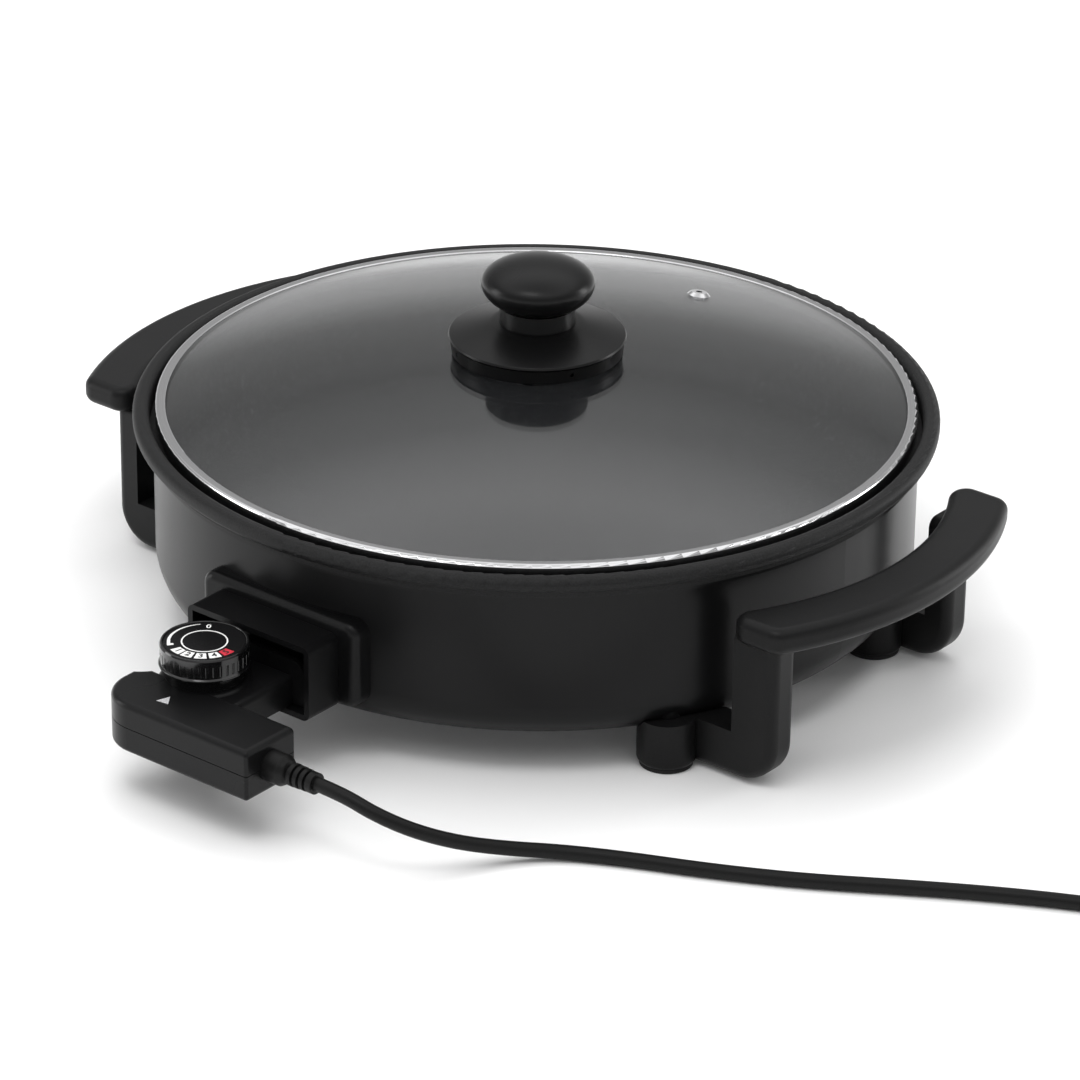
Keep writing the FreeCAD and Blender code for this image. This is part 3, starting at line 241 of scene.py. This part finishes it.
def pan_surface():
    """Smooth black outside, a finely textured rim, and a matt speckled coating inside."""
    material, nodes, links, shader = new_material("pan_coat")
    coordinate = nodes.new("ShaderNodeTexCoord").outputs["Object"]
    parts = nodes.new("ShaderNodeSeparateXYZ")
    links.new(coordinate, parts.inputs[0])
    x, y, z = parts.outputs
    shifted = math_node(nodes, links, "SUBTRACT", y, AXIS_Y)
    square = math_node(nodes, links, "ADD", math_node(nodes, links, "MULTIPLY", x, x),
                       math_node(nodes, links, "MULTIPLY", shifted, shifted))
    radius = math_node(nodes, links, "SQRT", square)
    outside = math_node(nodes, links, "GREATER_THAN", radius, 0.1885)
    rim = math_node(nodes, links, "GREATER_THAN", z, 0.0985)
    inside = math_node(nodes, links, "MULTIPLY", math_node(nodes, links, "SUBTRACT", 1.0, outside),
                       math_node(nodes, links, "GREATER_THAN", z, 0.0465))
    fine = grain(nodes, links, coordinate, 1400.0)
    speck = grain(nodes, links, coordinate, 420.0, 1.0)
    slow = grain(nodes, links, coordinate, 9.0, 2.0)
    wall = mixed(nodes, links, remap(nodes, links, slow, 0.0, 1.0), (0.0030, 0.0030, 0.0032),
                 (0.0045, 0.0045, 0.0048))
    coat = mixed(nodes, links, remap(nodes, links, speck, 0.0, 1.0, 0.62, 0.72), (0.020, 0.020, 0.021),
                 (0.060, 0.060, 0.063))
    edge = mixed(nodes, links, remap(nodes, links, fine, 0.0, 1.0), (0.006, 0.006, 0.006),
                 (0.016, 0.016, 0.0165))
    color = mixed(nodes, links, rim, mixed(nodes, links, inside, wall, coat), edge)
    links.new(color, shader.inputs["Base Color"])
    matt = math_node(nodes, links, "MAXIMUM", rim, inside)
    rough = math_node(nodes, links, "ADD", remap(nodes, links, slow, 0.27, 0.33),
                      math_node(nodes, links, "MULTIPLY", matt, 0.22))
    links.new(rough, shader.inputs["Roughness"])
    depth = math_node(nodes, links, "ADD", 0.08, math_node(nodes, links, "MULTIPLY", matt, 0.9))
    height = math_node(nodes, links, "MULTIPLY", fine, depth)
    raise_node = nodes.new("ShaderNodeBump")
    raise_node.inputs["Strength"].default_value = 0.35
    raise_node.inputs["Distance"].default_value = 0.0005
    links.new(height, raise_node.inputs["Height"])
    links.new(raise_node.outputs["Normal"], shader.inputs["Normal"])
    shader.inputs["Specular IOR Level"].default_value = 0.19
    return material


def glass_surface():
    material, nodes, links, shader = new_material("smoked_glass")
    coordinate = nodes.new("ShaderNodeTexCoord").outputs["Object"]
    slow = grain(nodes, links, coordinate, 6.0, 1.0)
    tint = mixed(nodes, links, remap(nodes, links, slow, 0.0, 1.0), (0.80, 0.81, 0.82), (0.84, 0.85, 0.86))
    links.new(tint, shader.inputs["Base Color"])
    links.new(remap(nodes, links, slow, 0.02, 0.05), shader.inputs["Roughness"])
    shader.inputs["Transmission Weight"].default_value = 1.0
    shader.inputs["IOR"].default_value = 1.52
    clear = nodes.new("ShaderNodeBsdfTransparent")
    clear.inputs["Color"].default_value = (0.72, 0.73, 0.74, 1.0)
    path = nodes.new("ShaderNodeLightPath")
    mix = nodes.new("ShaderNodeMixShader")
    links.new(path.outputs["Is Shadow Ray"], mix.inputs["Fac"])
    links.new(shader.outputs[0], mix.inputs[1])
    links.new(clear.outputs[0], mix.inputs[2])
    links.new(mix.outputs[0], nodes["Material Output"].inputs["Surface"])
    return material


def brushed(name, color, rough, centre=(0.0, 0.0), fine=260.0):
    """Turned metal: fine rings about an upright axis."""
    material, nodes, links, shader = new_material(name)
    coordinate = nodes.new("ShaderNodeTexCoord").outputs["Object"]
    parts = nodes.new("ShaderNodeSeparateXYZ")
    links.new(coordinate, parts.inputs[0])
    across = math_node(nodes, links, "SUBTRACT", parts.outputs[0], centre[0])
    along = math_node(nodes, links, "SUBTRACT", parts.outputs[1], centre[1])
    radius = math_node(nodes, links, "SQRT", math_node(
        nodes, links, "ADD", math_node(nodes, links, "MULTIPLY", across, across),
        math_node(nodes, links, "MULTIPLY", along, along)))
    joined = nodes.new("ShaderNodeCombineXYZ")
    links.new(radius, joined.inputs[0])
    links.new(parts.outputs[2], joined.inputs[2])
    rings = grain(nodes, links, joined.outputs[0], fine * 12, 4.0)
    darker = tuple(0.86 * value for value in color)
    links.new(mixed(nodes, links, remap(nodes, links, rings, 0.0, 1.0), darker, color),
              shader.inputs["Base Color"])
    links.new(remap(nodes, links, rings, rough * 0.8, rough * 1.3), shader.inputs["Roughness"])
    raise_node = nodes.new("ShaderNodeBump")
    raise_node.inputs["Strength"].default_value = 0.06
    raise_node.inputs["Distance"].default_value = 0.0002
    links.new(rings, raise_node.inputs["Height"])
    links.new(raise_node.outputs["Normal"], shader.inputs["Normal"])
    shader.inputs["Metallic"].default_value = 1.0
    return material


def control_surface():
    """Satin shell whose raised collar under the dial is polished."""
    material = surface("control_satin", (0.0050, 0.0050, 0.0053), 0.27, fine=1700.0, bump=0.10)
    nodes, links = material.node_tree.nodes, material.node_tree.links
    shader = nodes["Principled BSDF"]
    satin = shader.inputs["Roughness"].links[0].from_socket
    coordinate = nodes.new("ShaderNodeTexCoord").outputs["Object"]
    parts = nodes.new("ShaderNodeSeparateXYZ")
    links.new(coordinate, parts.inputs[0])
    high = math_node(nodes, links, "GREATER_THAN", parts.outputs[2], 0.0504)
    collar = math_node(nodes, links, "MULTIPLY", high,
                       math_node(nodes, links, "LESS_THAN", parts.outputs[1], -0.174))
    share = math_node(nodes, links, "SUBTRACT", 1.0, math_node(nodes, links, "MULTIPLY", collar, 0.72))
    rough = math_node(nodes, links, "MULTIPLY", satin, share)
    links.new(rough, shader.inputs["Roughness"])
    return material


def dress(material, *names):
    for name in names:
        piece = bpy.data.objects[name]
        for slot in piece.material_slots:
            slot.material = material


def dress_nodes():
    dress(pan_surface(), "cooking_pan")
    dress(glass_surface(), "lid_glass")
    dress(brushed("band_steel", (0.80, 0.80, 0.81), 0.14, (0.0, AXIS_Y)),
          "lid_band", "steam_vent", "probe_rod")
    dress(brushed("plate_steel", (0.50, 0.50, 0.51), 0.34, (0.0, AXIS_Y), 120.0), "base_cover", "probe_guide")
    dress(surface("fastener_steel", (0.45, 0.45, 0.47), 0.3, metal=1.0), "base_cover_screws", "socket_screws",
          "foot_screws", "terminal_pins", "knob_screw", "control_screws")
    dress(surface("heater_sheath", (0.13, 0.12, 0.12), 0.55, metal=0.6, bump=0.3), "heating_element")
    dress(surface("seal_grey", (0.16, 0.16, 0.17), 0.6), "element_seals", "knob_gasket")
    handle = surface("handle_moulding", (0.0060, 0.0060, 0.0062), 0.38, spread=0.04, bump=0.16)
    dress(handle, "right_handle", "left_handle")
    dress(surface("socket_moulding", (0.0040, 0.0040, 0.0043), 0.30, bump=0.10),
          "socket_shroud", "socket_frame")
    dress(surface("knob_moulding", (0.0040, 0.0040, 0.0042), 0.30, spread=0.04, bump=0.07, specular=0.24),
          "knob_base", "knob_neck", "knob_cap", "under_lid_cap")
    dress(surface("foot_rubber", (0.02, 0.02, 0.02), 0.75, bump=0.3), "foot_pads")
    dress(control_surface(), "control_upper_shell", "control_lower_shell")
    dress(surface("relief_rubber", (0.0055, 0.0055, 0.0055), 0.40, bump=0.15), "strain_relief", "plug_body")
    dress(surface("contact_brass", (0.70, 0.56, 0.28), 0.28, metal=1.0), "contact_sleeves", "plug_blades")
    dress(surface("switch_body", (0.55, 0.52, 0.45), 0.5), "thermostat_switch", "dial_shaft")
    dress(surface("dial_gloss", (0.0035, 0.0035, 0.0037), 0.12, spread=0.03, bump=0.02, coat=0.5,
                  specular=0.4), "dial")
    dress(surface("dial_disc", (0.0045, 0.0045, 0.0048), 0.28, bump=0.05), "dial_face")
    dress(surface("pointer_grey", (0.42, 0.42, 0.43), 0.5), "pointer_mark")


# Dial print: plain cells and numbers
def flat_piece(name, cells, height, material):
    """A thin flat print on the dial, from cells of (inner radius, outer radius, start, end in degrees)."""
    shape = bmesh.new()
    for inner, outer, start, end in cells:
        count = max(3, int(abs(end - start) / 3))
        rows = []
        for k in range(count + 1):
            angle = math.radians(start + (end - start) * k / count)
            way = Vector((math.cos(angle), math.sin(angle), 0))
            base = DIAL_CENTRE + Vector((0, 0, height))
            rows.append([shape.verts.new(base + way * radius) for radius in (inner, outer)])
        for a, b in zip(rows, rows[1:]):
            shape.faces.new((a[0], a[1], b[1], b[0]))
    mesh = bpy.data.meshes.new(name)
    shape.to_mesh(mesh)
    shape.free()
    piece = bpy.data.objects.new(name, mesh)
    bpy.context.collection.objects.link(piece)
    mesh.materials.append(material)
    thick = piece.modifiers.new("depth", "SOLIDIFY")
    thick.thickness = 0.00012
    thick.offset = 1.0
    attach(piece, "dial")
    return piece


def make_print():
    white = surface("print_white", (0.78, 0.78, 0.77), 0.45, bump=0.03, shade=1.04)
    red = surface("print_red", (0.52, 0.03, 0.05), 0.45, bump=0.03, shade=1.05)
    dark = surface("print_dark", (0.02, 0.02, 0.02), 0.5, bump=0.03)
    turn = math.degrees(VIEW_TURN)
    top = DIAL_FACE_TOP
    cells = [(0.0126, 0.0178, angle - 9.8 + turn, angle + 9.8 + turn) for angle in (220, 243, 267, 291)]
    flat_piece("dial_cells", cells, top, white)
    flat_piece("dial_hot_cell", [(0.0126, 0.0178, 305 + turn, 325 + turn)], top, red)
    flat_piece("dial_ring", [(0.0104, 0.0111, 0, 360)], top, white)
    arcs = [(0.0172 - 0.000085 * k, 0.0176, start + turn, start + 6.2 + turn)
            for k, start in enumerate(range(100, 190, 6))]
    arcs.append((0.0147, 0.0178, 190 + turn, 196 + turn))
    flat_piece("dial_sweep", arcs, top, white)
    for text, angle, material in (("0", 86, white), ("1", 220, dark), ("2", 243, dark), ("3", 267, dark),
                                  ("4", 291, dark), ("5", 315, dark)):
        data = bpy.data.curves.new("digit_" + text, "FONT")
        data.body = text
        data.size = 0.0050
        data.align_x = "CENTER"
        data.align_y = "CENTER"
        data.extrude = 0.00005
        data.offset = 0.00008
        digit = bpy.data.objects.new("digit_" + text, data)
        bpy.context.collection.objects.link(digit)
        data.materials.append(material)
        direction = math.radians(angle) + VIEW_TURN
        digit.location = DIAL_CENTRE + Vector((math.cos(direction) * 0.0152, math.sin(direction) * 0.0152,
                                               top + 0.00018))
        digit.rotation_euler = (0, 0, direction + math.pi / 2)
        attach(digit, "dial")


def make_tie(centre, left):
    """A flat strap round the coil's turns."""
    side = Vector((left.y, -left.x, 0))
    middle = Vector((centre.x, centre.y, 0)) + left * 41.0
    middle = Vector((middle.x / 1000, middle.y / 1000 + AXIS_Y, 0.0082))
    shape = bmesh.new()
    rows = []
    for k in range(24):
        angle = math.tau * k / 24
        across = math.copysign(abs(math.cos(angle)) ** 0.5, math.cos(angle)) * 0.0128
        up = math.copysign(abs(math.sin(angle)) ** 0.5, math.sin(angle)) * 0.0075
        base = middle + left * across + Vector((0, 0, up))
        rows.append([shape.verts.new(base + side * offset) for offset in (-0.004, 0.004)])
    for k, row in enumerate(rows):
        ahead = rows[(k + 1) % len(rows)]
        shape.faces.new((row[0], row[1], ahead[1], ahead[0]))
    mesh = bpy.data.meshes.new("cord_strap")
    shape.to_mesh(mesh)
    shape.free()
    strap = bpy.data.objects.new("cord_strap", mesh)
    bpy.context.collection.objects.link(strap)
    thick = strap.modifiers.new("depth", "SOLIDIFY")
    thick.thickness = 0.0007
    thick.offset = -1.0
    mesh.materials.append(surface("strap_black", (0.02, 0.02, 0.02), 0.6, bump=0.3))
    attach(strap, "control")
    return strap


# Floor and light
def make_floor():
    mesh = bpy.data.meshes.new("floor")
    mesh.from_pydata([(-6, -6, 0), (6, -6, 0), (6, 6, 0), (-6, 6, 0)], [], [(0, 1, 2, 3)])
    floor = bpy.data.objects.new("floor", mesh)
    bpy.context.collection.objects.link(floor)
    mesh.materials.append(surface("floor_white", (0.90, 0.90, 0.90), 0.6, bump=0.0, shade=1.005,
                                  specular=0.1))


def make_world():
    world = bpy.data.worlds.new("studio")
    bpy.context.scene.world = world
    world.use_nodes = True
    nodes, links = world.node_tree.nodes, world.node_tree.links
    back = nodes["Background"]
    coordinate = nodes.new("ShaderNodeTexCoord").outputs["Generated"]
    parts = nodes.new("ShaderNodeSeparateXYZ")
    links.new(coordinate, parts.inputs[0])
    ramp = nodes.new("ShaderNodeValToRGB")
    ramp.color_ramp.elements[0].position = 0.0
    ramp.color_ramp.elements[0].color = (0.72, 0.72, 0.72, 1)
    ramp.color_ramp.elements[1].position = 1.0
    ramp.color_ramp.elements[1].color = (0.75, 0.75, 0.75, 1)
    for position, value in ((0.12, 0.66), (0.26, 0.40), (0.46, 0.36), (0.62, 0.62), (0.76, 1.25), (0.9, 1.2)):
        stop = ramp.color_ramp.elements.new(position)
        stop.color = (value, value, value, 1)
    links.new(parts.outputs[2], ramp.inputs["Fac"])
    links.new(ramp.outputs["Color"], back.inputs["Color"])
    back.inputs["Strength"].default_value = 1.0
    plain = nodes.new("ShaderNodeBackground")
    plain.inputs["Color"].default_value = (0.95, 0.95, 0.955, 1)
    plain.inputs["Strength"].default_value = 1.0
    path = nodes.new("ShaderNodeLightPath")
    mix = nodes.new("ShaderNodeMixShader")
    links.new(path.outputs["Is Camera Ray"], mix.inputs["Fac"])
    links.new(back.outputs[0], mix.inputs[1])
    links.new(plain.outputs[0], mix.inputs[2])
    links.new(mix.outputs[0], nodes["World Output"].inputs["Surface"])


def softbox(name, azimuth, elevation, distance, width, height, power):
    """An area light, by the direction it comes from as the camera sees it."""
    data = bpy.data.lights.new(name, "AREA")
    data.shape = "RECTANGLE"
    data.size = width
    data.size_y = height
    data.energy = power
    light = bpy.data.objects.new(name, data)
    bpy.context.collection.objects.link(light)
    a = math.radians(azimuth) + VIEW_TURN
    e = math.radians(elevation)
    place = Vector((math.sin(a) * math.cos(e), -math.cos(a) * math.cos(e), math.sin(e))) * distance
    aim = Vector((0, AXIS_Y, 0.08))
    light.location = aim + place
    light.rotation_euler = place.to_track_quat("Z", "Y").to_euler()
    return light


make_camera()
bpy.context.scene.view_settings.view_transform = "Standard"
cord, coil_centre, coil_left = make_cord()
cord.data.materials.append(surface("cord_rubber_skin", (0.0060, 0.0060, 0.0060), 0.42, bump=0.12))
strap = make_tie(coil_centre, coil_left)
dress_nodes()
make_print()
make_floor()
make_world()
for box in (softbox("key_left", -60, 55, 1.9, 1.6, 1.4, 4), softbox("back_top", 175, 62, 2.0, 1.6, 0.6, 7),
            softbox("overhead", 0, 88, 2.2, 2.4, 2.4, 23)):
    box.visible_glossy = False
    box.visible_transmission = False
softbox("strip_left", -92, 12, 1.6, 0.5, 0.9, 5)
softbox("strip_right", 103, 12, 1.6, 0.4, 0.9, 6)
softbox("soft_top", -25, 66, 2.4, 0.9, 0.5, 5)

bpy.context.view_layer.update()
